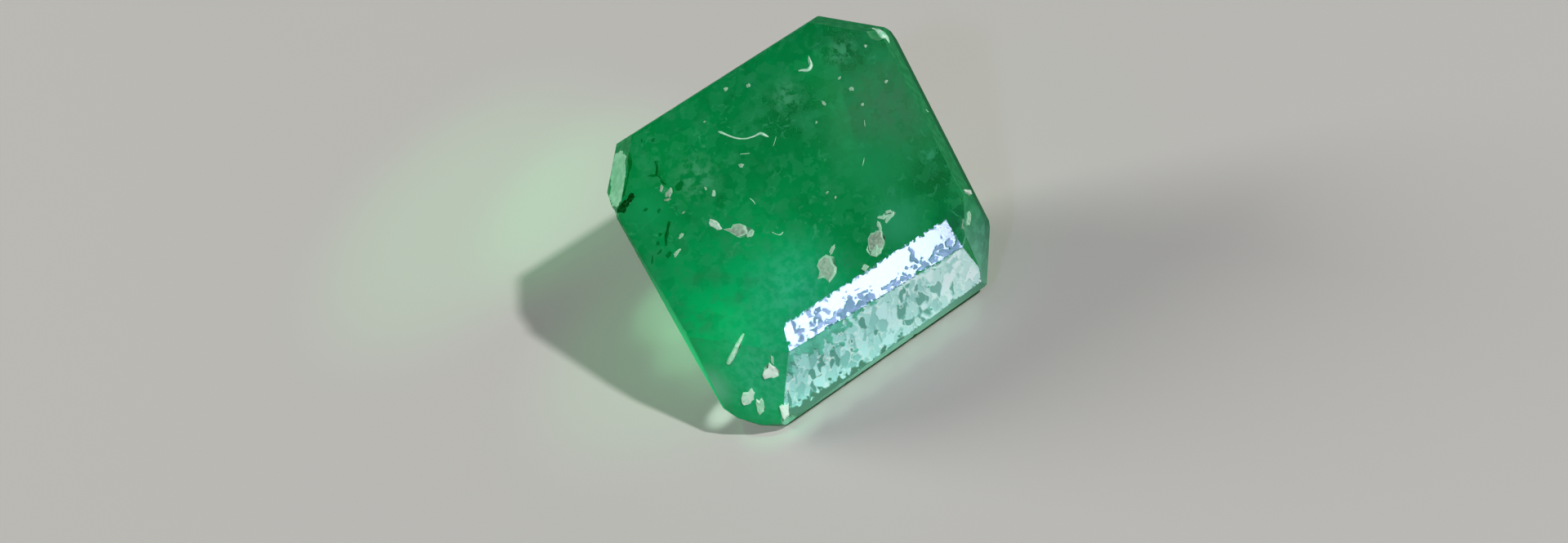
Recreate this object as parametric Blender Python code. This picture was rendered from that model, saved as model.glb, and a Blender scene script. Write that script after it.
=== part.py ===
"""A square step-cut emerald of about 1.4 carats, roughly cut and worn, lying on its pavilion.

The stone is drawn in its own frame, in millimetres: the table is the plane z = 0 and faces +z,
the broad stepped side of the crown is the front, at -y, and the point of the pavilion is below.
Every facet is one flat cut through a block. The stone is then turned onto the pavilion facet
that it rests on, which tips the table towards the front, and set down with that facet at Z = 0.
"""

import math
import random

import bmesh
import bpy
from mathutils import Matrix, Vector

MM = 0.001

# Driving sizes, in millimetres and degrees
BLOCK = 12.0           # rough block that the facets are cut from
REST_SLOPE = 38.0      # slope of the pavilion facet that the stone lies on, and so the table's tilt
GIRDLE_FRONT = 3.23    # table centre to the girdle, on the four sides
GIRDLE_RIGHT = 3.46
GIRDLE_BACK = 3.72
GIRDLE_LEFT = 3.54
CROWN_STEP = 0.125     # depth of the first step of the crown, at the front

# Facets. Azimuth is the way the facet faces, from +x towards +y. Slope is its fall from the
# table: 0 is flat, 90 upright, and over 90 undercut. The plane passes through the point that is
# `reach` from the table's centre along the azimuth and `below` under the table.
TABLE = (0, 0, 0, 0)
CORNER_LOWER = (228, 33.5, 2.826, 0.115)   # front left corner, lower step
GIRDLE = [
    (271.4, 90, GIRDLE_FRONT, 0),
    (355.7, 90, GIRDLE_RIGHT, 0),
    (88.4, 90, GIRDLE_BACK, 0),
    (175.7, 90, GIRDLE_LEFT, 0),
    (325.7, 90, 3.90, 0),            # front right corner
    (46.1, 90, 4.41, 0),             # back right corner
    (137, 90, 4.49, 0),              # back left corner
    (204, 90, 4.25, 0),              # front left corner, worn round in three flats
    (220, 90, 4.35, 0),
    (239, 90, 4.21, 0),
]
CROWN = [
    (269.5, 11.5, 1.784, 0),         # front, upper step
    (267.9, 43.5, 2.38, CROWN_STEP), # front, lower step
    (355.7, 82, GIRDLE_RIGHT, 0.62),
    (88.4, 70, GIRDLE_BACK, 0.42),
    (180, 73, 3.32, 0),              # left, wider towards the front
    (322, 19, 3.233, 0),             # front right corner, upper
    (315, 52, 3.65, 0.14),           # front right corner, lower
    (328.7, 66, 3.574, 0),           # front right corner, outer
    (46.1, 62, 4.41, 0.45),          # back right corner
    (140, 41, 4.49, 0.45),           # back left corner
    (228, 11.8, 2.277, 0),           # front left corner, upper
    CORNER_LOWER,
]
PAVILION = [
    (270, 180 - REST_SLOPE, 2.88, 1.72),   # the facet the stone rests on
    (271.4, 123, GIRDLE_FRONT, 1.20),      # steps next to the girdle
    (355.7, 120, GIRDLE_RIGHT, 1.05),
    (88.4, 122, GIRDLE_BACK, 0.72),
    (175.7, 120, GIRDLE_LEFT, 1.00),
    (325.7, 122, 3.90, 1.15),
    (46.1, 122, 4.41, 0.85),
    (137, 122, 4.49, 0.85),
    (220, 122, 4.35, 1.15),
    (357, 136, 3.15, 1.70),                # middle steps
    (89, 135, 3.30, 1.40),
    (177, 137, 3.15, 1.66),
    (321.7, 136, 3.35, 1.90),
    (46.1, 136, 3.86, 1.60),
    (139, 136, 3.94, 1.60),
    (223, 136, 3.80, 1.90),
    (270, 153, 0.65, 3.46),                # steps around the culet
    (358, 149, 1.20, 3.45),
    (178, 149, 1.20, 3.40),
    (90, 147, 1.10, 3.45),
]

# Natural pits where inclusions were plucked from the surface:
# facet, x, y, length, width, turn in degrees, depth
PITS = [
    (TABLE, -1.58, 0.87, 0.24, 0.16, -70, 0.07),
    (TABLE, -1.18, 0.46, 0.54, 0.24, -38, 0.09),
    (TABLE, 1.19, -1.40, 0.60, 0.34, 34, 0.10),
    (TABLE, 1.70, -1.05, 0.32, 0.13, -20, 0.06),
    (TABLE, 0.01, -1.30, 0.52, 0.42, 70, 0.09),
    (TABLE, -3.00, 2.41, 0.44, 0.16, 10, 0.11),
    (TABLE, 1.96, 2.74, 0.30, 0.09, 75, 0.06),
    (CORNER_LOWER, -2.23, -2.38, 0.38, 0.32, 20, 0.10),
    (CORNER_LOWER, -2.97, -2.46, 0.28, 0.20, 60, 0.08),
    (CORNER_LOWER, -2.90, -2.75, 0.26, 0.18, 100, 0.08),
    (CORNER_LOWER, -2.57, -1.60, 0.56, 0.09, 67, 0.06),
]
PIT_SIDES = 8
PIT_FLOOR = 0.62       # floor of a pit as a share of its mouth
PIT_RAGGED = 0.22      # how far a corner of a pit strays, as a share of its radius

# Chips struck from the edges: x, y, z of the bite, its radius, and its flatness along z
CHIPS = [
    (3.62, 2.52, -0.02, 0.30, 0.6),    # back right corner
    (3.62, 0.52, -0.42, 0.14, 1.2),    # right girdle
    (3.48, -1.50, -0.36, 0.17, 0.9),   # right girdle, near the front corner
    (3.30, -2.02, -0.22, 0.16, 1.3),   # front right corner
    (-2.56, -3.34, -1.02, 0.20, 1.0),  # front left corner
    (-3.42, 2.46, -0.16, 0.18, 1.0),   # left, beside the back corner
    (-1.10, 3.72, -0.14, 0.15, 0.8),   # back edge
    (1.40, -3.38, -1.14, 0.17, 0.7),   # front girdle
]
CHIP_RAGGED = 0.10


def facet_plane(facet):
    """The facet's outward normal and a point on it, in the stone's own frame."""
    azimuth, slope, reach, below = facet
    azimuth, slope = math.radians(azimuth), math.radians(slope)
    along = Vector((math.cos(azimuth), math.sin(azimuth), 0))
    normal = along * math.sin(slope) + Vector((0, 0, math.cos(slope)))
    return normal, (along * reach - Vector((0, 0, below))) * MM


def cut_facet(bm, facet):
    """Saws off what lies outside the facet's plane and closes the cut with one face."""
    normal, point = facet_plane(facet)
    geometry = bm.verts[:] + bm.edges[:] + bm.faces[:]
    cut = bmesh.ops.bisect_plane(bm, geom=geometry, plane_co=point, plane_no=normal, clear_outer=True)
    rim = [item for item in cut["geom_cut"] if isinstance(item, bmesh.types.BMEdge)]
    if rim:
        bmesh.ops.contextual_create(bm, geom=rim)


def cut_stone():
    """The faceted stone before its pits and chips, in its own frame."""
    bm = bmesh.new()
    bmesh.ops.create_cube(bm, size=BLOCK * MM)
    for facet in [TABLE] + GIRDLE + CROWN + PAVILION:
        cut_facet(bm, facet)
    bmesh.ops.recalc_face_normals(bm, faces=bm.faces)
    return bm


def set_down(bm):
    """The move from the stone's own frame to where it lies, its box centred on the origin."""
    turn = Matrix.Rotation(math.radians(REST_SLOPE), 4, "X")
    turned = [turn @ vert.co for vert in bm.verts]
    low = Vector([min(co[axis] for co in turned) for axis in range(3)])
    high = Vector([max(co[axis] for co in turned) for axis in range(3)])
    middle = (low + high) / 2
    return Matrix.Translation((-middle.x, -middle.y, -low.z)) @ turn


def on_facet(facet, x, y):
    """A frame on the facet over the point x, y of the stone, with z along the facet's normal."""
    normal, point = facet_plane(facet)
    height = point.z - (normal.x * (x * MM - point.x) + normal.y * (y * MM - point.y)) / normal.z
    return Matrix.Translation((x * MM, y * MM, height)) @ normal.to_track_quat("Z", "Y").to_matrix().to_4x4()


def add_pit(bm, chance, facet, x, y, length, width, turn, depth):
    """A ragged pan with a floor smaller than its mouth, sunk into a facet."""
    made = bmesh.ops.create_cone(bm, cap_ends=True, segments=PIT_SIDES, radius1=PIT_FLOOR / 2,
                                 radius2=1 - PIT_FLOOR / 2, depth=2)
    for vert in made["verts"]:
        stray = 1 + chance.uniform(-PIT_RAGGED, PIT_RAGGED)
        vert.co = Vector((vert.co.x * stray * length * MM, vert.co.y * stray * width * MM, vert.co.z * depth * MM))
    place = on_facet(facet, x, y) @ Matrix.Rotation(math.radians(turn), 4, "Z")
    bmesh.ops.transform(bm, matrix=place, verts=made["verts"])


def add_chip(bm, chance, x, y, z, radius, flatness):
    """A rough ball that takes a shell-shaped bite out of an edge."""
    made = bmesh.ops.create_icosphere(bm, subdivisions=2, radius=radius * MM)
    for vert in made["verts"]:
        stray = 1 + chance.uniform(-CHIP_RAGGED, CHIP_RAGGED)
        vert.co = Vector((vert.co.x * stray, vert.co.y * stray, vert.co.z * stray * flatness))
    bmesh.ops.translate(bm, vec=Vector((x, y, z)) * MM, verts=made["verts"])


def make_object(name, bm, place):
    """Turns a bmesh into an object that lies where the stone lies."""
    bmesh.ops.transform(bm, matrix=place, verts=bm.verts)
    mesh = bpy.data.meshes.new(name)
    bm.to_mesh(mesh)
    bm.free()
    thing = bpy.data.objects.new(name, mesh)
    bpy.context.scene.collection.objects.link(thing)
    return thing


def cut_away(stone, name, bm, place):
    """Takes the shapes in bm out of the stone, and hides them."""
    cutter = make_object(name, bm, place)
    cutter.hide_render = True
    cutter.display_type = "WIRE"
    modifier = stone.modifiers.new(name, "BOOLEAN")
    modifier.operation = "DIFFERENCE"
    modifier.object = cutter


def emerald_material():
    """Vivid green beryl, clear but full of inclusions."""
    material = bpy.data.materials.new("emerald")
    material.use_nodes = True
    shader = material.node_tree.nodes["Principled BSDF"]
    shader.inputs["Base Color"].default_value = (0.010, 0.280, 0.075, 1)
    shader.inputs["Roughness"].default_value = 0.12
    shader.inputs["Metallic"].default_value = 0
    shader.inputs["IOR"].default_value = 1.58
    return material


def main():
    for thing in list(bpy.data.objects):
        bpy.data.objects.remove(thing)
    faceted = cut_stone()
    place = set_down(faceted)
    stone = make_object("emerald", faceted, place)
    stone.data.materials.append(emerald_material())

    chance = random.Random(4)
    pits = bmesh.new()
    for pit in PITS:
        add_pit(pits, chance, *pit)
    cut_away(stone, "pit_cutter", pits, place)
    chips = bmesh.new()
    for chip in CHIPS:
        add_chip(chips, chance, *chip)
    cut_away(stone, "chip_cutter", chips, place)


main()
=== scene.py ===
import math
import random
import bmesh
import bpy
from mathutils import Matrix, Vector, geometry, noise


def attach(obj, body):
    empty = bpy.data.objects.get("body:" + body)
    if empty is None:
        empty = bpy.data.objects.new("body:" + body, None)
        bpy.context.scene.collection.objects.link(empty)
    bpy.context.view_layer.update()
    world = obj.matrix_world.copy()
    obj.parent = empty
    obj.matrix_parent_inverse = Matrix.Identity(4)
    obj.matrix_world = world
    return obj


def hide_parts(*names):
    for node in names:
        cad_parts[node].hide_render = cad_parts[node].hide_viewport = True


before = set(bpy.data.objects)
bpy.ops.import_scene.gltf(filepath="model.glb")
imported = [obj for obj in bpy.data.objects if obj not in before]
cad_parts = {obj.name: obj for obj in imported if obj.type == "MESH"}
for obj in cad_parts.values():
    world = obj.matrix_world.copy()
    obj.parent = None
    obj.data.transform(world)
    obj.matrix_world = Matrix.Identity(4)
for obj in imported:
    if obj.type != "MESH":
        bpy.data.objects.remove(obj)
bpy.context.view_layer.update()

# ---- The cut stone ------------------------------------------------------------------------------
# One emerald of about 1.4 carats, a step-cut square with clipped corners, ground by hand and worn.
# The CAD solid gives every facet; here the facets are sawn fine and get their wear and their finish.
MM = 0.001
TABLE_TILT = math.radians(38)
TABLE_CENTRE = Vector((-0.018, -0.746, 3.128)) * MM
TIP = Matrix.Rotation(TABLE_TILT, 3, "X")
UP = TIP @ Vector((0, 0, 1))      # the way that the table faces

KEEP_APART = 0.0005 * MM
FLAT_WITHIN = math.radians(0.4)
SAME_PLANE = 0.003 * MM
BROKEN = 0                        # facet number of all that isn't a cut facet: chips and pits

EDGE_WEAR = 0.020 * MM            # width of the rounding along the facets' edges
WORN_FROM = math.radians(25)      # and the least angle of the edges that are rounded
COARSE = 0.10 * MM                # squares that the facets are sawn into
FINE = 0.06 * MM                  # and those of the worn facets, before each is cut four by four
STEP_RIDGE = -0.13                # ridge between the two front steps, in mm under the table
STEP_FOOT = -1.02                 # and the foot of the lower step, on the girdle
CRUST = 0.20 * MM                 # frosted patches of the worn step, plucked out of the polish
CRUST_DEPTH = 0.008 * MM
SCAR = 0.17                       # width and length of the plucked grains in the frost, in mm
SCAR_LENGTH = 0.30
SCAR_WAY = math.radians(56)       # and the way that they run
SCAR_DEPTH = 0.014 * MM
LIP = 0.07                        # width of the unworn lip at its foot, in mm
TOOTH = 0.14 * MM                 # and the teeth along the lip
STAIN = 0.11 * MM                 # blotches of the upper step where the polish is etched
STAIN_DEPTH = 0.0006 * MM
TEETH = 0.05 * MM                 # teeth along the upper edges of the two steps
TOOTH_RISE = 0.009 * MM
RIDGE_RISE = 0.030 * MM
NICK_SPREAD = 0.07 * MM           # nicks along the facets' edges
NICK_DEPTH = 0.045 * MM
BREAK = 0.07 * MM                 # roughness of the broken faces, in the chips and pits
BREAK_DEPTH = 0.022 * MM
FACET_SHADE_AXIS = Vector((0.35, 0.80, 0.49))   # pavilion facets that face along it are painted darker and yellower, those across it stay bluer: painted shade that tells the facets apart, as inner reflections would


def own(x, y, z=0.0):
    """A place given in the stone's own frame, in mm from the table's centre, as the stone lies."""
    return TABLE_CENTRE + TIP @ (Vector((x, y, z)) * MM)


def in_own(place):
    """The same place in the stone's own frame, in mm."""
    return TIP.transposed() @ (place - TABLE_CENTRE) / MM


def smooth(low, high, value):
    """A soft step from 0 at low to 1 at high."""
    share = max(0, min(1, (value - low) / (high - low)))
    return share * share * (3 - 2 * share)


def facing(azimuth, slope):
    """The way that a facet of an azimuth and a slope to the table faces, as the stone lies."""
    around, fall = math.radians(azimuth), math.radians(slope)
    across = math.sin(fall)
    return TIP @ Vector((math.cos(around) * across, math.sin(around) * across, math.cos(fall)))


def rgb(code):
    """An sRGB hex colour as linear light."""
    parts = [int(code[i:i + 2], 16) / 255 for i in (1, 3, 5)]
    return (*[c / 12.92 if c <= 0.04045 else ((c + 0.055) / 1.055) ** 2.4 for c in parts], 1)


def node(tree, kind, settings, links):
    """Adds a node, sets its properties and its sockets by name or number, and links outputs into it."""
    made = tree.nodes.new("ShaderNode" + kind)
    for key, value in settings.items():
        if isinstance(key, int) or key in made.inputs:
            made.inputs[key].default_value = value
        else:
            setattr(made, key, value)
    for key, source in links.items():
        tree.links.new(source, made.inputs[key])
    return made.outputs


stone = bmesh.new()
stone.from_mesh(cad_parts["emerald"].data)
bmesh.ops.remove_doubles(stone, verts=stone.verts, dist=KEEP_APART)
bmesh.ops.dissolve_limit(stone, angle_limit=FLAT_WITHIN, verts=stone.verts, edges=stone.edges)

facet_of = stone.faces.layers.int.new("facet")
planes = [(Vector((0, 0, 0)), 0.0)]
for face in sorted(stone.faces, key=lambda face: -face.calc_area()):
    matches = [number for number, (normal, reach) in enumerate(planes)
               if number != BROKEN and normal.dot(face.normal) > 0
               and all(abs(vert.co.dot(normal) - reach) < SAME_PLANE for vert in face.verts)]
    reach = face.verts[0].co.dot(face.normal)
    if not matches and all(vert.co.dot(face.normal) < reach + SAME_PLANE for vert in stone.verts):
        planes.append((face.normal.copy(), reach))
        matches = [len(planes) - 1]
    face[facet_of] = matches[0] if matches else BROKEN


def facet_number(azimuth, slope):
    """The number of the facet that faces closest to an azimuth and a slope."""
    towards = facing(azimuth, slope)
    return max(range(1, len(planes)), key=lambda number: planes[number][0].dot(towards))


def slope_of(number):
    """How far a facet falls from the table, in degrees."""
    return math.degrees(planes[number][0].angle(planes[TABLE][0]))


TABLE = facet_number(0, 0)
UPPER_STEP = facet_number(269.5, 11.5)
LOWER_STEP = facet_number(267.9, 43.5)
MINT_CORNER = facet_number(140, 41)
WORN_FACETS = (UPPER_STEP, LOWER_STEP, MINT_CORNER)
FACETS = range(1, len(planes))
RIM = [number for number in FACETS if 60 < slope_of(number) < 100]
PAVILION = [number for number in FACETS if slope_of(number) >= 100]

worn_edges = [edge for edge in stone.edges
              if len({face[facet_of] for face in edge.link_faces} | {BROKEN}) == 3
              and {face[facet_of] for face in edge.link_faces} != {UPPER_STEP, LOWER_STEP}
              and edge.calc_face_angle() > WORN_FROM
              and edge.calc_length() > 4 * EDGE_WEAR
              and all(BROKEN not in [face[facet_of] for face in vert.link_faces] for vert in edge.verts)]
rounded = bmesh.ops.bevel(stone, geom=worn_edges, offset=EDGE_WEAR, offset_type="OFFSET", segments=2,
                          profile=0.5, affect="EDGES", material=-1, clamp_overlap=False)
stone.normal_update()
for _ in range(2):
    for face in rounded["faces"]:
        beside = {other[facet_of] for vert in face.verts for other in vert.link_faces}.intersection(RIM)
        if beside and face.normal.angle(UP) < math.radians(100):
            face[facet_of] = min(beside)


def saw(faces, way, width):
    """Saws faces into strips of one width across a direction, and gives all the strips."""
    spots = [vert.co.dot(way) for face in faces for vert in face.verts]
    rest, strips = list(faces), []
    for number in range(1, math.ceil((max(spots) - min(spots)) / width)):
        place = min(spots) + number * width
        edges = dict.fromkeys(edge for face in rest for edge in face.edges)
        verts = dict.fromkeys(vert for face in rest for vert in face.verts)
        cut = bmesh.ops.bisect_plane(stone, geom=[*rest, *edges, *verts], dist=KEEP_APART / 50,
                                     plane_co=way * place, plane_no=way)
        pieces = [item for item in cut["geom"] if isinstance(item, bmesh.types.BMFace)]
        rest = [face for face in pieces if face.calc_center_median().dot(way) > place]
        strips += [face for face in pieces if face.calc_center_median().dot(way) <= place]
    return strips + rest


bevelled = set(rounded["faces"])
for number in FACETS:
    faces = [face for face in stone.faces if face[facet_of] == number and face not in bevelled]
    width = FINE if number in WORN_FACETS else COARSE
    width = 3 * COARSE if number in PAVILION else width
    along = planes[number][0].orthogonal().normalized()
    for way in (along, planes[number][0].cross(along)):
        faces = saw(faces, way, width)
    if number in WORN_FACETS:
        edges = dict.fromkeys(edge for face in faces for edge in face.edges)
        bmesh.ops.subdivide_edges(stone, edges=list(edges), cuts=3, use_grid_fill=True)

broken_edges = [edge for edge in stone.edges if {face[facet_of] for face in edge.link_faces} == {BROKEN}]
bmesh.ops.subdivide_edges(stone, edges=broken_edges, cuts=3, use_grid_fill=True)

grain_of = stone.verts.layers.float.new("grain")
rim_of = stone.verts.layers.float.new("rim")
tone_of = stone.verts.layers.float.new("tone")
lip_of = stone.verts.layers.float.new("lip")
stone.normal_update()
middle = own(0, 0, -1.5)
noise.seed_set(7)                 # so that noise_vector, and with it the wear, is the same at every run


def scar_at(place):
    """How near a place on the frosted step is to the border of a plucked grain, and the grain's tone."""
    x, y = place.x, place.y / math.cos(math.radians(43.5))
    along = (x * math.cos(SCAR_WAY) + y * math.sin(SCAR_WAY)) / SCAR_LENGTH
    across = (y * math.cos(SCAR_WAY) - x * math.sin(SCAR_WAY)) / SCAR
    spot = Vector((along, across, 0))
    distances, centres = noise.voronoi(spot + 0.7 * noise.noise_vector(spot * 1.4))
    return 1 - smooth(0.0, 0.12, distances[1] - distances[0]), 0.5 + 0.5 * noise.cell(centres[0] * 9)


def room_under(number, place, normal):
    """How far a place can rise along a normal before it meets the plane of a facet."""
    plane, reach = planes[number]
    return (reach - plane.dot(place)) / plane.dot(normal)


moves = {}
risen = set()
for vert in stone.verts:
    touching = {face[facet_of] for face in vert.link_faces}
    place = in_own(vert.co)
    tooth = noise.noise(vert.co / TEETH) + 0.4 * noise.noise(vert.co / TEETH * 2.3)
    if touching == {LOWER_STEP}:
        normal = planes[LOWER_STEP][0]
        down = (STEP_RIDGE - place.z) / (STEP_RIDGE - STEP_FOOT)
        frosted = 0.95 * smooth(0.02, 0.50, down + 0.30 * smooth(-1.0, 0.8, place.x)) - 0.40
        ragged = noise.fractal(vert.co / CRUST, 0.7, 2.1, 4) * 0.7
        toothed = noise.fractal(vert.co / TOOTH, 0.8, 2.1, 2)
        lip_edge = 0.13 * (toothed + 0.5 * smooth(2.2, 2.9, place.x) - 0.1)
        vert[lip_of] = smooth(0.0, 0.04, place.z - STEP_FOOT + lip_edge - LIP)
        vert[grain_of] = smooth(-0.06, 0.06, frosted + ragged) * vert[lip_of]
        vert[rim_of], vert[tone_of] = scar_at(place)
        sunk = CRUST_DEPTH + SCAR_DEPTH * (1 - vert[rim_of]) * (1.3 - vert[tone_of])
        moves[vert] = -sunk * vert[grain_of] * normal
        room = room_under(UPPER_STEP, vert.co, normal)
        if room < RIDGE_RISE * max(0, tooth + 0.5 * smooth(0.5, 2.0, place.x) - 0.1):
            moves[vert] = room * normal
            risen.add(vert)
    elif touching == {UPPER_STEP}:
        down = smooth(0.1, 0.9, place.z / STEP_RIDGE)
        ends = smooth(-1.40, -1.22, place.x) - 0.5 * smooth(0.3, 1.2, place.x) * smooth(2.4, 1.9, place.x)
        warped = vert.co / STAIN + 1.1 * noise.noise_vector(vert.co / STAIN * 0.8)
        spread = noise.noise(vert.co / STAIN * 0.35)
        etched = noise.cell(warped) + 0.9 * spread + 1.3 * down + 0.9 * ends - 1.83
        vert[grain_of] = smooth(0.0, 0.10, etched) * (1.2 + 0.4 * noise.cell(warped + Vector((9, 9, 9))))
        moves[vert] = -STAIN_DEPTH * vert[grain_of] * planes[UPPER_STEP][0]
        room = room_under(TABLE, vert.co, UP)
        if room < TOOTH_RISE * max(0, tooth + 0.35):
            moves[vert] = room * UP
            vert[grain_of] = 0
    elif touching == {BROKEN}:
        moves[vert] = BREAK_DEPTH * noise.fractal(vert.co / BREAK, 0.8, 2.1, 2) * vert.normal
    elif len(touching) > 1 and BROKEN not in touching and touching - set(PAVILION):
        bite = max(0, noise.noise(vert.co / NICK_SPREAD) - 0.25)
        moves[vert] = NICK_DEPTH * bite * (middle - vert.co).normalized()
for vert, move in moves.items():
    vert.co += move

POLISHED, GROUND, WORN, FRESH = range(4)
finish_of = {number: POLISHED for number in FACETS}
finish_of.update({number: GROUND for number in RIM})
finish_of.update({BROKEN: FRESH, LOWER_STEP: WORN, MINT_CORNER: GROUND})
SPALL_FROM, SPALL_TO = own(-2.76, 3.30, -0.24), own(-3.05, 2.78, -0.12)
SPALL_RADIUS = 0.31 * MM          # the back left corner has spalled, over an oval about this wide


def spalled(place):
    """Whether a place lies in the ragged oval that has spalled off the back left corner."""
    nearest, share = geometry.intersect_point_line(place, SPALL_FROM, SPALL_TO)
    nearest = SPALL_FROM.lerp(SPALL_TO, max(0, min(1, share)))
    return (place - nearest).length < SPALL_RADIUS * (1 + 0.35 * noise.noise(place / (0.12 * MM)))


dull_of = stone.faces.layers.float.new("dull")
facet_shade_of = stone.faces.layers.float.new("facet_shade")
for face in stone.faces:
    number = face[facet_of]
    face.material_index = finish_of[number]
    if number == MINT_CORNER and spalled(face.calc_center_median()):
        face.material_index = FRESH
    if risen.issuperset(face.verts):
        face.material_index = POLISHED
    face[dull_of] = 0.25 if number in PAVILION else 0.06
    # How much painted shade each pavilion facet gets, by how far it faces along the axis.
    face[facet_shade_of] = abs(planes[number][0].dot(FACET_SHADE_AXIS)) if number in PAVILION else 0
    face.smooth = True
for edge in stone.edges:
    edge.smooth = len({face[facet_of] for face in edge.link_faces}) == 1

mesh = bpy.data.meshes.new("cut_emerald")
stone.to_mesh(mesh)
stone.free()
emerald = bpy.data.objects.new("cut_emerald", mesh)
bpy.context.scene.collection.objects.link(emerald)

# Emerald, a chrome-green beryl with an IOR near 1.58: lapped and polished on copper, so glossy, but
# sleepy with fine inclusions, which cloud the green and blur what lies behind.
FACTOR, FIRST, SECOND = 0, 6, 7    # sockets of a colour Mix node
beryl = bpy.data.materials.new("polished_beryl")
beryl.use_nodes = True
tree = beryl.node_tree
shader = tree.nodes["Principled BSDF"]
shader.inputs["Transmission Weight"].default_value = 0.55
shader.inputs["IOR"].default_value = 1.58
spot = node(tree, "TexCoord", {}, {})["Object"]


def zone(tree, spot, centre, radius):
    """A soft round area: 1 at its centre and 0 from its radius on."""
    far = node(tree, "VectorMath", {"operation": "DISTANCE", 1: centre}, {0: spot})["Value"]
    settings = {"interpolation_type": "SMOOTHSTEP", "From Min": radius, "From Max": 0.0}
    return node(tree, "MapRange", settings, {"Value": far})[0]


def patches(tree, spot, size, low, high, detail=3.0):
    """Irregular patches of a size: 0 where the noise is under low and 1 over high."""
    cloud = node(tree, "TexNoise", {"Scale": 1 / size, "Detail": detail}, {"Vector": spot})[0]
    return node(tree, "MapRange", {"From Min": low, "From Max": high}, {"Value": cloud})[0]


def blend(tree, share, first, second):
    """A colour mixed from two, each a hex colour or another node's output."""
    made = tree.nodes.new("ShaderNodeMix")
    made.data_type = "RGBA"
    tree.links.new(share, made.inputs[FACTOR])
    for socket, colour in ((FIRST, first), (SECOND, second)):
        if isinstance(colour, str):
            made.inputs[socket].default_value = rgb(colour)
        else:
            tree.links.new(colour, made.inputs[socket])
    return made.outputs[2]


green = blend(tree, patches(tree, spot, 1.6 * MM, 0.35, 0.65), "#05b45e", "#05c266")
# The green is uneven, and in part painted light and shade: painted light where light comes through, brightest
# low on the left, a milky haze on the right, and painted shade that darkens the right corners.
for x, y, z, radius, colour in ((-2.0, -1.4, 0.0, 3.4, "#08ff98"), (2.9, 1.0, 0.0, 2.1, "#5cba84"),
                                (1.1, 2.1, 0.0, 1.2, "#12a052"), (2.9, 2.6, 0.0, 1.0, "#1c9652"),
                                (3.0, -0.9, 0.0, 0.9, "#209a54"), (3.0, -2.1, -0.2, 1.0, "#188458")):
    green = blend(tree, zone(tree, spot, own(x, y, z), radius * MM), green, colour)
clouds = patches(tree, spot, 0.50 * MM, 0.52, 0.75, 4.0)
green = blend(tree, clouds, green, "#35c47c")
shades = patches(tree, spot, 0.45 * MM, 0.56, 0.80, 3.0)
raised_half = zone(tree, spot, own(-1.2, 2.6), 4.2 * MM)
shades = node(tree, "Math", {"operation": "MULTIPLY"}, {0: shades, 1: raised_half})[0]
green = blend(tree, shades, green, "#0aa450")
warp = node(tree, "TexNoise", {"Scale": 1 / (0.2 * MM), "Detail": 2.0}, {"Vector": spot})["Color"]
bend = {"operation": "MULTIPLY_ADD", 1: (0.3 * MM,) * 3}
bent = node(tree, "VectorMath", bend, {0: warp, 2: spot})["Vector"]
shards = node(tree, "TexVoronoi", {"Scale": 1 / (0.20 * MM)}, {"Vector": bent})["Color"]
bright = node(tree, "MapRange", {"From Min": 0.55, "From Max": 0.75, "To Max": 0.36}, {"Value": shards})[0]
green = blend(tree, bright, green, "#3ccf84")
dim = node(tree, "MapRange", {"From Min": 0.32, "From Max": 0.18, "To Max": 0.20}, {"Value": shards})[0]
green = blend(tree, dim, green, "#04a04a")
twisted = {"Scale": 1 / (0.20 * MM), "Detail": 3.0, "Distortion": 1.2}
wisps = node(tree, "TexNoise", twisted, {"Vector": spot})[0]
wisps = node(tree, "MapRange", {"From Min": 0.58, "From Max": 0.74}, {"Value": wisps})[0]
drifts = patches(tree, spot, 0.9 * MM, 0.38, 0.62)
wisps = node(tree, "Math", {"operation": "MULTIPLY"}, {0: wisps, 1: drifts})[0]
green = blend(tree, wisps, green, "#52dc9c")
veil = blend(tree, patches(tree, spot, 0.15 * MM, 0.42, 0.60), green, "#62dc9e")
for x, y, radius in ((-1.4, 2.0, 0.75), (1.17, 2.39, 0.55), (2.65, 2.55, 0.50)):
    green = blend(tree, zone(tree, spot, own(x, y), radius * MM), green, veil)
green = blend(tree, zone(tree, spot, own(-2.75, 2.0), 0.8 * MM), green, "#20cc7c")
green = blend(tree, zone(tree, spot, own(2.0, 0.0), 1.1 * MM), green, "#2ccc7c")
# Painted light: the front of the table, most on the left, and the front left corner are painted lighter and
# mintier, where light comes through the stone.
mottled_painted_light = blend(tree, patches(tree, spot, 0.16 * MM, 0.40, 0.62), "#26f0a4", "#52ffc0")
green = blend(tree, zone(tree, spot, own(-0.8, -1.3), 1.6 * MM), green, mottled_painted_light)
green = blend(tree, zone(tree, spot, own(1.8, -1.3), 0.9 * MM), green, "#40da96")
green = blend(tree, zone(tree, spot, own(-2.3, -2.3, -0.5), 1.9 * MM), green, mottled_painted_light)
green = blend(tree, zone(tree, spot, own(-3.6, -1.8, -0.8), 0.7 * MM), green, "#9cffd4")
# The etched blotches of the upper step are painted pale sky blue: partly their frost, partly a painted
# reflection of the bluish lamp that the step catches.
pits = node(tree, "Attribute", {"attribute_name": "grain"}, {})["Fac"]
green = blend(tree, pits, green, "#84c8e8")
# Painted shade: the pavilion's facets are darker and yellower the more they face along the axis.
facet_shade = node(tree, "Attribute", {"attribute_name": "facet_shade"}, {})["Fac"]
green = blend(tree, facet_shade, green, "#0c8638")
tree.links.new(green, shader.inputs["Base Color"])
dull = node(tree, "Attribute", {"attribute_name": "dull"}, {})["Fac"]
rough = node(tree, "Math", {"operation": "MULTIPLY_ADD", 1: 0.13}, {0: pits, 2: dull})[0]
tree.links.new(rough, shader.inputs["Roughness"])
absorbed = node(tree, "VolumeAbsorption", {"Color": (0.02, 0.90, 0.60, 1), "Density": 150}, {})[0]
tree.links.new(absorbed, tree.nodes["Material Output"].inputs["Volume"])
emerald.data.materials.append(beryl)
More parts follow.
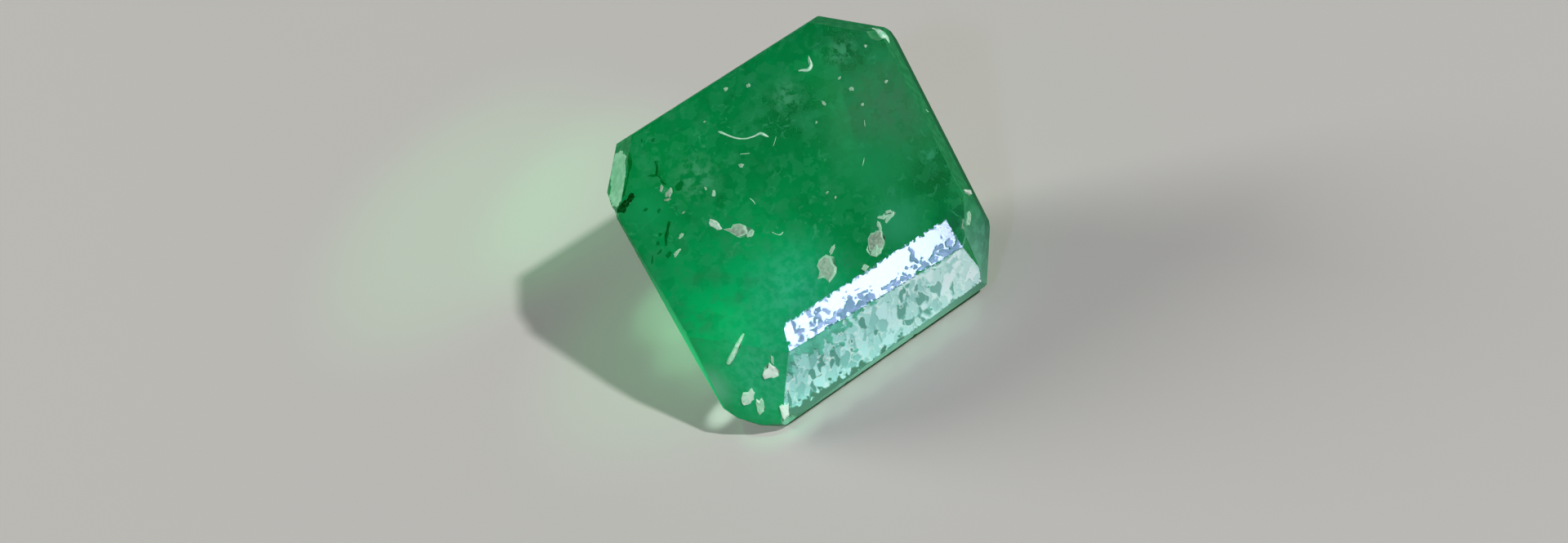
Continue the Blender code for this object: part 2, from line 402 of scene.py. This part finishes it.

# The girdle and the steep facets next to it are only ground, never polished, so they are matt. Their colour
# holds painted light: lighter on the left, where light comes through them, pale at the front, and painted
# shade from a little under the table down to the girdle's lower edge, where least light comes through.
ground = bpy.data.materials.new("ground_beryl")
ground.use_nodes = True
tree = ground.node_tree
shader = tree.nodes["Principled BSDF"]
shader.inputs["Specular IOR Level"].default_value = 0.05
shader.inputs["Roughness"].default_value = 0.8
spot = node(tree, "TexCoord", {}, {})["Object"]
rise = node(tree, "VectorMath", {"operation": "DOT_PRODUCT", 1: UP}, {0: spot})["Value"]
low, high = TABLE_CENTRE.dot(UP) - 0.66 * MM, TABLE_CENTRE.dot(UP) - 0.58 * MM
above_edge = node(tree, "MapRange", {"From Min": low, "From Max": high}, {"Value": rise})[0]
cloudy = blend(tree, patches(tree, spot, 0.15 * MM, 0.4, 0.65), "#218650", "#30985e")
# Painted shade: darker from a little under the table downwards.
matt_with_painted_light = blend(tree, above_edge, "#1c6e42", cloudy)
milky_corner = blend(tree, patches(tree, spot, 0.20 * MM, 0.45, 0.60), "#296e52", "#438a6e")
matt_with_painted_light = blend(tree, zone(tree, spot, own(3.1, -2.6, -0.6), 1.3 * MM), matt_with_painted_light, milky_corner)
matt_with_painted_light = blend(tree, zone(tree, spot, own(0.2, -3.9, -1.1), 4.2 * MM), matt_with_painted_light, "#a4f0d4")
# Painted light on the left, where light comes through the stone.
matt_with_painted_light = blend(tree, zone(tree, spot, own(-4.2, -1.0, -1.2), 3.0 * MM), matt_with_painted_light, "#38ffa0")
tree.links.new(matt_with_painted_light, shader.inputs["Base Color"])
emerald.data.materials.append(ground)

# The broad lower step has lost its polish: grains are plucked out of it, and it looks frosted; the grains'
# rims carry painted glints.
worn = bpy.data.materials.new("worn_beryl")
worn.use_nodes = True
tree = worn.node_tree
shader = tree.nodes["Principled BSDF"]
shader.inputs["Roughness"].default_value = 0.35
shader.inputs["IOR"].default_value = 1.58
spot = node(tree, "TexCoord", {}, {})["Object"]
grain = node(tree, "Attribute", {"attribute_name": "grain"}, {})["Fac"]
rim = node(tree, "Attribute", {"attribute_name": "rim"}, {})["Fac"]
tone = node(tree, "Attribute", {"attribute_name": "tone"}, {})["Fac"]
lip = node(tree, "Attribute", {"attribute_name": "lip"}, {})["Fac"]
frost, greyer = "#58a494", "#78b8aa"
for start, cool, warm in ((0.20, "#8ad4ca", "#aee0da"), (0.42, "#a4e8e0", "#c8f2ec"),
                          (0.70, "#bcfaf6", "#e8ffff")):
    paler = node(tree, "MapRange", {"From Min": start, "From Max": start + 0.03}, {"Value": tone})[0]
    frost = blend(tree, paler, frost, cool)
    greyer = blend(tree, paler, greyer, warm)
frost = blend(tree, zone(tree, spot, own(2.6, -2.9, -0.7), 3.2 * MM), frost, greyer)
# Painted glints: the rims of the plucked grains are painted paler, as highlights that they catch.
painted_rim_glints = blend(tree, patches(tree, spot, 0.25 * MM, 0.42, 0.52), "#98d8ce", "#dcfff8")
frost = blend(tree, rim, frost, painted_rim_glints)
smoothed = blend(tree, patches(tree, spot, 0.3 * MM, 0.4, 0.6), "#44b290", "#60ccb0")
frost = blend(tree, grain, smoothed, frost)
frost = blend(tree, lip, "#4c8a70", frost)
tree.links.new(frost, shader.inputs["Base Color"])
emerald.data.materials.append(worn)

# Fresh breaks, in the pits and chips and on one corner, are finely frosted and pale.
fresh = bpy.data.materials.new("broken_beryl")
fresh.use_nodes = True
tree = fresh.node_tree
shader = tree.nodes["Principled BSDF"]
shader.inputs["Roughness"].default_value = 0.6
shader.inputs["Specular IOR Level"].default_value = 0.15
spot = node(tree, "TexCoord", {}, {})["Object"]
pale = blend(tree, patches(tree, spot, 0.15 * MM, 0.35, 0.65), "#8ed8ae", "#b8eacb")
minty = blend(tree, patches(tree, spot, 0.15 * MM, 0.35, 0.65), "#56b582", "#6ec498")
pale = blend(tree, zone(tree, spot, own(-3.0, 3.2, -0.3), 1.6 * MM), pale, minty)
pale = blend(tree, zone(tree, spot, own(3.5, 2.5, -0.1), 0.7 * MM), pale, "#1a8a4c")
pale = blend(tree, zone(tree, spot, own(-2.6, -3.4, -1.1), 0.5 * MM), pale, "#4fa080")
tree.links.new(pale, shader.inputs["Base Color"])
emerald.data.materials.append(fresh)
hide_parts("emerald")
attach(emerald, "root")

# ---- Flakes in the pits -------------------------------------------------------------------------
# Flakes of calcite and mica still sit in the pits of the table and of the front left corner, and
# small ones reach the surface elsewhere. Each is a thin ragged scale, brownish in its middle and
# chalky at its rim, grown into the stone.
chance = random.Random(11)
FLAKE_CORNERS = 12


def on_skin(x, y):
    """A frame on the top of the stone over its own point x, y in mm, with z along the facet's normal."""
    spot = own(x, y)
    lift, normal = min(((reach - normal.dot(spot)) / normal.dot(UP), normal)
                       for normal, reach in planes[1:] if normal.dot(UP) > 0.1)
    lie = TIP @ (TIP.transposed() @ normal).to_track_quat("Z", "Y").to_matrix()
    return Matrix.Translation(spot + lift * UP) @ lie.to_4x4()


def add_flake(bm, x, y, length, width, turn, chalk, sunk=-0.004, thick=0.016, tilt=0):
    """Adds a ragged scale, sunk into the skin or proud. Sizes in mm, chalk from 0 brown to 1 white."""
    chalk_of = bm.verts.layers.float.get("chalk") or bm.verts.layers.float.new("chalk")
    first = len(bm.verts)
    rim = bmesh.ops.create_circle(bm, cap_ends=True, segments=FLAKE_CORNERS, radius=0.5)["verts"]
    for vert in rim:
        vert.co *= chance.uniform(0.62, 1.22)
    raised = bmesh.ops.extrude_face_region(bm, geom=rim[0].link_faces[:])["geom"]
    top = [item for item in raised if isinstance(item, bmesh.types.BMFace)]
    bmesh.ops.translate(bm, vec=(0, 0, 1), verts=top[0].verts)
    edge = len(bm.verts)
    bmesh.ops.inset_individual(bm, faces=top, thickness=0.12, depth=0.3)
    bmesh.ops.poke(bm, faces=top)
    bm.verts.ensure_lookup_table()
    verts = bm.verts[first:]
    for number, vert in enumerate(verts, start=first):
        rimmed = chance.uniform(0.45, 0.75) if number < edge else chance.uniform(0.0, 0.25)
        vert[chalk_of] = min(1, chalk + rimmed)
        vert.co.z += chance.uniform(-0.2, 0.2)
    turned = Matrix.Rotation(math.radians(tilt), 4, "Y") @ Matrix.Rotation(math.radians(turn), 4, "Z")
    shape = turned @ Matrix.Diagonal((length, width, thick, 1))
    lie = on_skin(x, y) @ Matrix.Scale(MM, 4) @ Matrix.Translation((0, 0, -sunk)) @ shape
    bmesh.ops.transform(bm, matrix=lie, verts=verts)


def made(name, bm):
    """Turns a bmesh into an object with its faces outwards."""
    bmesh.ops.recalc_face_normals(bm, faces=bm.faces)
    mesh = bpy.data.meshes.new(name)
    bm.to_mesh(mesh)
    bm.free()
    thing = bpy.data.objects.new(name, mesh)
    bpy.context.scene.collection.objects.link(thing)
    return thing


flakes = bmesh.new()
add_flake(flakes, -1.57, 0.90, 0.34, 0.18, -62, 0.80, 0.03, 0.04)
add_flake(flakes, -1.20, 0.50, 0.58, 0.27, -38, 0.00, 0.03, 0.04)
add_flake(flakes, -1.01, 0.30, 0.20, 0.12, 20, 0.30, 0.00, 0.03)
add_flake(flakes, 1.21, -1.36, 0.56, 0.37, 46, -0.15, 0.03, 0.04)
add_flake(flakes, 1.10, -1.58, 0.26, 0.22, 30, 0.25, 0.00, 0.03)
add_flake(flakes, 1.43, -1.14, 0.26, 0.10, 66, 0.20, 0.01, 0.03)
add_flake(flakes, 1.55, -1.01, 0.22, 0.09, -35, 0.30, 0.01, 0.03)
add_flake(flakes, 1.70, -1.11, 0.28, 0.10, 22, 0.30, 0.01, 0.03)
add_flake(flakes, 1.76, -1.00, 0.16, 0.08, -20, 0.30, 0.01, 0.03)
add_flake(flakes, 3.336, -1.49, 0.11, 0.38, 0, 0.9, 0.0, 0.04)
add_flake(flakes, 3.09, -2.01, 0.36, 0.13, -5, 0.15, 0.0, 0.03)
add_flake(flakes, -0.01, -1.30, 0.50, 0.46, 70, 0.10, 0.03, 0.04)
add_flake(flakes, 0.30, -1.00, 0.24, 0.08, 30, 0.20)
add_flake(flakes, 0.71, -1.74, 0.18, 0.14, 10, 0.6, -0.004, 0.04)
add_flake(flakes, -2.21, -2.38, 0.42, 0.36, 20, 1.0, 0.05, 0.05, 20)
add_flake(flakes, -2.04, -2.22, 0.24, 0.08, 95, 0.2)
add_flake(flakes, -2.97, -2.45, 0.48, 0.27, 60, 0.75, 0.04, 0.05, 14)
add_flake(flakes, -2.90, -2.74, 0.42, 0.22, 100, 0.65, 0.04, 0.05, 14)
add_flake(flakes, -2.49, -3.11, 0.38, 0.25, 55, 1.0, 0.02, 0.05)
add_flake(flakes, -1.25, 1.50, 0.15, 0.09, 60, 0.35)
add_flake(flakes, -2.59, 0.85, 0.24, 0.09, 20, 0.10)
add_flake(flakes, -2.07, 2.07, 0.24, 0.16, 20, -0.25)
add_flake(flakes, -2.18, 1.96, 0.18, 0.06, -20, -0.30)
add_flake(flakes, -2.17, 2.24, 0.16, 0.08, 60, -0.30)
for x, y, size, turn in ((0.13, 3.29, 0.11, 0), (0.58, 3.07, 0.09, 30), (1.77, 1.81, 0.13, -75),
                         (-0.63, 2.95, 0.05, 0), (2.33, 2.07, 0.08, 20), (2.43, 1.72, 0.12, -80),
                         (3.14, 1.43, 0.09, 0), (2.46, 1.30, 0.08, 10), (3.16, 2.34, 0.07, 0),
                         (-0.44, 1.67, 0.13, -34), (0.84, 0.11, 0.07, 0), (-2.03, 1.52, 0.07, 0),
                         (-2.32, 1.12, 0.14, 30), (1.42, 1.54, 0.07, 40), (0.94, -0.08, 0.06, 0),
                         (-1.35, 1.69, 0.09, 80)):
    add_flake(flakes, x, y, size, size * chance.uniform(0.5, 0.9), turn, 0.10)
pit_flakes = made("pit_flakes", flakes)

chalk = bpy.data.materials.new("calcite_flake")
chalk.use_nodes = True
tree = chalk.node_tree
shader = tree.nodes["Principled BSDF"]
shader.inputs["Roughness"].default_value = 0.5
spot = node(tree, "TexCoord", {}, {})["Object"]
chalky = node(tree, "Attribute", {"attribute_name": "chalk"}, {})["Fac"]
milky = blend(tree, patches(tree, spot, 0.07 * MM, 0.40, 0.60), "#83a087", "#a4c4a8")
for start, colour in ((0.10, "#a6e4bc"), (0.80, "#ffffff")):
    paler = node(tree, "MapRange", {"From Min": start, "From Max": start + 0.35}, {"Value": chalky})[0]
    milky = blend(tree, paler, milky, colour)
tree.links.new(milky, shader.inputs["Base Color"])
pit_flakes.data.materials.append(chalk)
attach(pit_flakes, "root")

# ---- Needles ------------------------------------------------------------------------------------
# Fine needles and fibres of tremolite that the table has cut through: thread-thin, half sunk.
# Each is a thread through a few points of a facet, with its radius at each point.
needles = bpy.data.curves.new("needles", "CURVE")
needles.dimensions = "3D"
needles.bevel_depth = MM
needles.bevel_resolution = 2
needles.use_fill_caps = True


def add_needle(curve, path):
    """Adds a thread through points x, y, radius in mm, on the skin, or x, y, z, radius."""
    spline = curve.splines.new("NURBS")
    spline.points.add(len(path) - 1)
    for point, (x, y, *depth, radius) in zip(spline.points, path):
        spot = own(x, y, *depth) if depth else on_skin(x, y).translation
        point.co = (*spot, 1)
        point.radius = radius
    spline.order_u = 3
    spline.use_endpoint_u = True


add_needle(needles, ((-0.49, 2.60, 0.010), (-0.46, 2.56, 0.034), (-0.41, 2.49, 0.022), (-0.27, 2.28, 0.018),
                     (-0.08, 2.12, 0.017), (0.11, 2.06, 0.016), (0.20, 2.05, 0.020), (0.27, 2.04, 0.034),
                     (0.33, 1.95, 0.036), (0.38, 1.87, 0.012)))
add_needle(needles, ((1.66, 2.72, 0.012), (1.72, 2.70, 0.026), (1.79, 2.64, 0.036), (1.86, 2.61, 0.044),
                     (1.95, 2.65, 0.040), (1.99, 2.74, 0.022), (2.01, 2.88, 0.006)))
add_needle(needles, ((-0.33, 1.90, 0.006), (-0.26, 1.86, 0.010), (-0.15, 1.80, 0.004)))
add_needle(needles, ((0.52, 1.78, 0.005), (0.44, 1.69, 0.008), (0.36, 1.64, 0.003)))
add_needle(needles, ((-0.64, 0.96, 0.006), (-0.60, 0.87, 0.016), (-0.61, 0.78, 0.005)))
add_needle(needles, ((-0.60, 0.06, 0.005), (-0.55, -0.05, 0.010), (-0.46, -0.10, 0.022),
                     (-0.40, -0.07, 0.008)))
add_needle(needles, ((1.90, 0.30, 0.004), (1.86, 0.24, 0.008), (1.78, 0.17, 0.004)))
add_needle(needles, ((2.26, 0.86, 0.004), (2.28, 0.91, 0.008), (2.32, 0.99, 0.004)))
add_needle(needles, ((-2.25, -1.44, 0.024), (-2.34, -1.48, 0.040), (-2.50, -1.55, 0.050),
                     (-2.72, -1.64, 0.062), (-2.86, -1.68, 0.066), (-2.93, -1.70, 0.040)))
add_needle(needles, ((3.44, 2.68, -0.26, 0.014), (3.50, 2.59, -0.24, 0.036), (3.54, 2.49, -0.18, 0.074),
                     (3.56, 2.38, -0.19, 0.090), (3.57, 2.29, -0.24, 0.084), (3.57, 2.19, -0.24, 0.034)))
threads = bpy.data.objects.new("needles", needles)
bpy.context.scene.collection.objects.link(threads)

fibre = bpy.data.materials.new("tremolite_needle")
fibre.use_nodes = True
tree = fibre.node_tree
shader = tree.nodes["Principled BSDF"]
shader.inputs["Roughness"].default_value = 0.4
spot = node(tree, "TexCoord", {}, {})["Object"]
silky = blend(tree, patches(tree, spot, 0.12 * MM, 0.35, 0.60), "#8fecb8", "#d8ffe6")
tree.links.new(silky, shader.inputs["Base Color"])
needles.materials.append(fibre)
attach(threads, "root")

# ---- Fissures -----------------------------------------------------------------------------------
# Short open cracks next to the spalled corner and in the left of the table, dark with old polish.
# Most are only a stain under the skin, and the pit by the corner is packed nearly black.
fissures = bmesh.new()
for x, y, length, width, turn in ((-1.79, 2.07, 0.22, 0.17, 20), (-1.79, 3.25, 0.10, 0.07, 20),
                                  (-2.01, 3.38, 0.08, 0.05, 60), (-2.69, 1.40, 0.11, 0.08, 0),
                                  (-2.83, 1.27, 0.09, 0.08, 40), (-2.70, 2.05, 0.10, 0.07, 0),
                                  (-2.46, 1.86, 0.10, 0.06, 30), (-2.90, 1.08, 0.14, 0.07, 10),
                                  (-2.76, 0.92, 0.18, 0.12, 20), (-3.12, 1.03, 0.20, 0.05, 55),
                                  (-2.18, 2.59, 0.14, 0.06, -30), (-2.55, 1.33, 0.13, 0.08, 55)):
    add_flake(fissures, x, y, length, width, turn, 0.9, -0.002, 0.006)
add_flake(fissures, -3.13, 2.36, 0.24, 0.20, 30, 0.0, 0.05, 0.05)
add_flake(fissures, -3.01, 2.42, 0.26, 0.19, 0, 0.0, 0.045, 0.05)
add_flake(fissures, -2.84, 2.46, 0.26, 0.13, 20, 0.0, 0.01, 0.03)
cracks = made("fissures", fissures)

grime = bpy.data.materials.new("old_polish")
grime.use_nodes = True
tree = grime.node_tree
shader = tree.nodes["Principled BSDF"]
shader.inputs["Roughness"].default_value = 0.8
shader.inputs["Specular IOR Level"].default_value = 0.02
spot = node(tree, "TexCoord", {}, {})["Object"]
thin = node(tree, "Attribute", {"attribute_name": "chalk"}, {})["Fac"]
thin = node(tree, "MapRange", {"From Min": 0.55, "From Max": 0.95}, {"Value": thin})[0]
packed = blend(tree, patches(tree, spot, 0.05 * MM, 0.4, 0.6), "#003808", "#065220")
tree.links.new(blend(tree, thin, packed, "#007430"), shader.inputs["Base Color"])
cracks.data.materials.append(grime)
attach(cracks, "root")

# ---- Hairline cracks ----------------------------------------------------------------------------
# Thin crooked cracks that run between the fissures, closed but for the old polish that stains them
# dark green. Each is drawn as a thread through a few points of the table.
hairlines = bpy.data.curves.new("hairlines", "CURVE")
hairlines.dimensions = "3D"
hairlines.bevel_depth = MM
hairlines.bevel_resolution = 1
hairlines.use_fill_caps = True
add_needle(hairlines, ((-1.96, 2.82, 0.044), (-1.99, 2.75, 0.026), (-2.02, 2.68, 0.020), (-2.11, 2.56, 0.034),
                       (-2.05, 2.47, 0.014), (-2.10, 2.37, 0.024), (-2.04, 2.26, 0.010)))
add_needle(hairlines, ((-2.09, 2.56, 0.012), (-2.17, 2.60, 0.018), (-2.29, 2.65, 0.008)))
add_needle(hairlines, ((-2.37, 1.52, 0.034), (-2.43, 1.48, 0.034), (-2.50, 1.40, 0.020), (-2.57, 1.32, 0.044),
                       (-2.66, 1.22, 0.024), (-2.71, 1.12, 0.014)))
add_needle(hairlines, ((-2.37, 3.31, 0.018), (-2.43, 3.19, 0.050), (-2.48, 3.07, 0.038), (-2.60, 2.96, 0.012),
                       (-2.70, 2.84, 0.020), (-2.84, 2.70, 0.012), (-2.97, 2.58, 0.026)))
hairs = bpy.data.objects.new("hairlines", hairlines)
bpy.context.scene.collection.objects.link(hairs)

stain = bpy.data.materials.new("polish_stain")
stain.use_nodes = True
tree = stain.node_tree
shader = tree.nodes["Principled BSDF"]
shader.inputs["Roughness"].default_value = 0.8
shader.inputs["Specular IOR Level"].default_value = 0.02
spot = node(tree, "TexCoord", {}, {})["Object"]
dark = blend(tree, patches(tree, spot, 0.2 * MM, 0.4, 0.6), "#00601f", "#007a34")
tree.links.new(dark, shader.inputs["Base Color"])
hairlines.materials.append(stain)
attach(hairs, "root")

# ---- The garden ---------------------------------------------------------------------------------
# Under the polish the stone is full of crumbs and healed cracks, which a jeweller calls its garden.
# The crumbs lie scattered along a few wavy veils, and here and there alone.
CRUMB_MARGIN = 0.06 * MM
chance = random.Random(5)
garden = bmesh.new()
crumb_of = garden.verts.layers.float.new("crumb")


def add_crumb(bm, place, size, flat):
    """Adds a small flat crystal inside the stone, turned any way, unless it would come near the skin."""
    if any(normal.dot(place) > reach - CRUMB_MARGIN - size for normal, reach in planes[1:]):
        return
    around, over = chance.uniform(0, math.tau), chance.uniform(0, math.pi)
    turn = Matrix.Rotation(around, 4, "Z") @ Matrix.Rotation(over, 4, "X")
    shape = Matrix.Translation(place) @ turn @ Matrix.Diagonal((size, size * flat, size * 0.4, 1))
    verts = bmesh.ops.create_icosphere(bm, subdivisions=1, radius=1, matrix=shape)["verts"]
    tone = chance.random()
    for vert in verts:
        vert[crumb_of] = tone


# centre, then two spans, in the stone's own frame, and the number of crumbs
VEILS = [
    ((-1.3, 1.9, -0.35), (0.75, 0.35, 0.05), (-0.25, 0.55, -0.25), 150),
    ((0.5, 1.9, -0.40), (0.55, -0.25, 0.05), (0.20, 0.35, -0.30), 90),
    ((2.2, 1.2, -0.55), (1.10, -0.70, 0.10), (0.60, 1.10, -0.25), 170),
    ((-1.7, -0.9, -0.45), (0.95, -0.40, 0.10), (0.40, 0.70, -0.30), 150),
    ((0.2, 0.0, -0.70), (1.40, 0.60, 0.00), (-0.50, 0.90, -0.40), 130),
    ((-2.6, 1.6, -0.45), (0.45, 0.80, 0.05), (0.35, -0.20, -0.40), 90),
    ((1.6, -0.5, -0.60), (0.90, -0.30, 0.00), (0.30, 0.60, -0.30), 80),
]
for centre, along, across, count in VEILS:
    for _ in range(count):
        around, far = chance.uniform(0, math.tau), math.sqrt(chance.random())
        spot = Vector(centre) + far * (math.cos(around) * Vector(along) + math.sin(around) * Vector(across))
        spot.z += 0.15 * noise.noise(spot * 2)
        add_crumb(garden, own(*spot), MM * chance.uniform(0.012, 0.045), chance.uniform(0.4, 1.0))
for _ in range(260):
    spot = own(chance.uniform(-3.2, 3.2), chance.uniform(-1.8, 3.4), -chance.uniform(0.15, 1.6))
    add_crumb(garden, spot, MM * chance.uniform(0.015, 0.055), chance.uniform(0.3, 1.0))
crumbs = made("garden_crumbs", garden)

wisp = bpy.data.materials.new("garden_crumb")
wisp.use_nodes = True
tree = wisp.node_tree
shader = tree.nodes["Principled BSDF"]
shader.inputs["Roughness"].default_value = 0.6
tone = node(tree, "Attribute", {"attribute_name": "crumb"}, {})["Fac"]
tree.links.new(blend(tree, tone, "#9fd8b4", "#f4fff4"), shader.inputs["Base Color"])
crumbs.data.materials.append(wisp)
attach(crumbs, "root")

# ---- Floor, light and camera --------------------------------------------------------------------
# A sheet of pale matt card, a round softbox to the front right, a small one that catches the upper
# step, and a broad fill behind. The green that a clear stone throws on the card isn't traced through
# it: small lamps of its colour stand in for that light.
GLOW_HEIGHT = 60                  # of the small lamps over the card, in mm
GLOW_SOFTNESS = 0.2               # size of such a lamp as a share of the radius that it lights
floor_mesh = bmesh.new()
bmesh.ops.create_grid(floor_mesh, x_segments=1, y_segments=1, size=0.25)
floor = made("floor", floor_mesh)
paper = bpy.data.materials.new("matt_card")
paper.use_nodes = True
shader = paper.node_tree.nodes["Principled BSDF"]
shader.inputs["Base Color"].default_value = rgb("#d8d8d2")
shader.inputs["Roughness"].default_value = 0.8
shader.inputs["Specular IOR Level"].default_value = 0.2
floor.data.materials.append(paper)

world = bpy.data.worlds.new("studio")
world.use_nodes = True
tree = world.node_tree
height = node(tree, "SeparateXYZ", {}, {"Vector": node(tree, "TexCoord", {}, {})["Generated"]})["Z"]
above = node(tree, "MapRange", {"From Min": 0.25, "From Max": 0.75}, {"Value": height})[0]
tree.links.new(blend(tree, above, "#616f59", "#282c27"), tree.nodes["Background"].inputs["Color"])
bpy.context.scene.world = world


def add_lamp(name, kind, place, towards, watts, colour):
    """A lamp at a place that faces against the direction `towards`."""
    lamp = bpy.data.lights.new(name, kind)
    lamp.energy = watts
    lamp.color = rgb(colour)[:3]
    thing = bpy.data.objects.new(name, lamp)
    thing.location = place
    thing.rotation_euler = towards.to_track_quat("Z", "Y").to_euler()
    bpy.context.scene.collection.objects.link(thing)
    return lamp


def softbox(name, towards, distance, size, watts, colour):
    """A round soft lamp that stands in a direction from the stone and faces it. Sizes in metres."""
    spot = Vector(towards).normalized()
    lamp = add_lamp(name, "AREA", spot * distance, spot, watts, colour)
    lamp.shape = "DISK"
    lamp.size = size


def glow(name, x, y, radius, watts, colour, lean=0.0):
    """A soft-edged pool of light on the card at x, y, from a narrow lamp above. Sizes in mm."""
    above = Vector((0, -lean, 1)) * GLOW_HEIGHT * MM
    lamp = add_lamp(name, "SPOT", Vector((x, y, 0)) * MM + above, above, watts, colour)
    lamp.spot_size = 2 * math.atan(radius * MM / above.length)
    lamp.spot_blend = 1
    lamp.shadow_soft_size = GLOW_SOFTNESS * radius * MM


softbox("key", (0.53, -0.615, 0.567), 0.60, 0.020, 2.54, "#fff9fc")
softbox("strip", (-0.161, -0.680, 0.716), 0.20, 0.018, 0.030, "#bcc0ff")
softbox("fill", (-0.60, 0.72, 0.34), 0.40, 0.15, 1.00, "#fffdf8")
glow("green_near_stone", -4.2, 3.0, 4.8, 0.016, "#38ff7c")
beside_stone = ((-4.2, 3.7, 1.4, 0.036), (-4.1, 2.2, 1.3, 0.036), (-3.9, 0.9, 1.0, 0.012))
for number, (x, y, radius, watts) in enumerate(beside_stone):
    glow(f"green_at_stone_{number}", x, y, radius, watts, "#97ffbd")
glow("green_beyond_shadow", -8.4, 11.6, 5.2, 0.018, "#38ff80")
glow("green_by_corner", -5.4, 9.4, 3.6, 0.020, "#3cff84")
glow("light_in_corner", -2.80, -2.00, 1.2, 0.034, "#60ffb4")
glow("light_past_corner", -3.98, -0.76, 0.48, 0.080, "#e4fff0")
along_girdle = ((-2.3, 0.070), (-1.5, 0.056), (-0.7, 0.046), (0.1, 0.038), (0.9, 0.034), (1.7, 0.030))
for number, (x, watts) in enumerate(along_girdle):
    glow(f"light_under_girdle_{number}", x, -2.55, 0.62, watts, "#ccffe8", 0.8)

AIM = Vector((-0.853, -1.295, 2.567)) * MM
CAMERA_AZIMUTH = math.radians(11)
CAMERA_ELEVATION = math.radians(34)
CAMERA_ROLL = math.radians(39.9)
CAMERA_DISTANCE = 130 * MM
CAMERA_LENS = 141.4               # in mm, over a sensor 36 mm wide
camera_data = bpy.data.cameras.new("camera")
camera_data.lens = CAMERA_LENS
camera_data.clip_start = 0.001
camera = bpy.data.objects.new("camera", camera_data)
back = Vector((math.sin(CAMERA_AZIMUTH) * math.cos(CAMERA_ELEVATION),
               -math.cos(CAMERA_AZIMUTH) * math.cos(CAMERA_ELEVATION), math.sin(CAMERA_ELEVATION)))
camera.location = AIM + back * CAMERA_DISTANCE
turned = back.to_track_quat("Z", "Y").to_matrix() @ Matrix.Rotation(-CAMERA_ROLL, 3, "Z")
camera.rotation_euler = turned.to_euler()
bpy.context.scene.collection.objects.link(camera)
bpy.context.scene.camera = camera
bpy.context.scene.view_settings.view_transform = "Standard"
